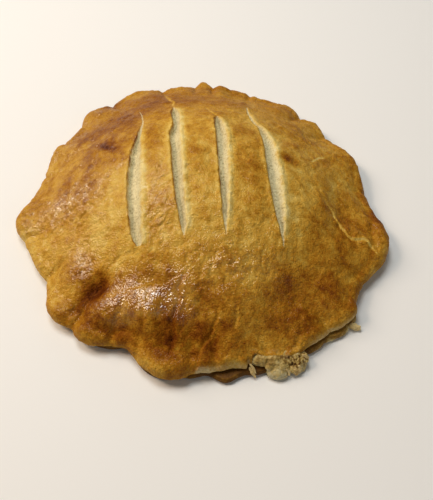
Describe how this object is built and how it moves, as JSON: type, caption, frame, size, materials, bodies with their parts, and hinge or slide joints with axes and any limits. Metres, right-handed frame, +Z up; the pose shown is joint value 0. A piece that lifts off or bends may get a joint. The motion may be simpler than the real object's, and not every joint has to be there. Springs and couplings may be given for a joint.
{
  "type": "cheese pie",
  "caption": "Round golden puff-pastry pie with a domed lid, knife slashes, a pinched scalloped rim and pale cheese running out of a torn spot.",
  "frame": {"origin": "middle of the flat underside, at the height of the surface that the pie stands on", "axes": "+Z up out of the dome, the torn spot with the leaking cheese faces -Y, the slashes run along Y, +X to the right seen from the torn side"},
  "size_m": [0.1484, 0.1489, 0.034],
  "materials": {
    "egg_washed_pastry": "baked puff pastry with an egg wash, golden to brown, satin with glossy patches",
    "bottom_pastry": "baked flaky pastry, brown and dry",
    "white_cheese": "soft white brined cheese, moist, pale greyish cream"
  },
  "bodies": {
    "root": {"lid_crust": "egg_washed_pastry", "base_sheet": "bottom_pastry", "cheese_filling": "white_cheese"}
  },
  "joints": []
}
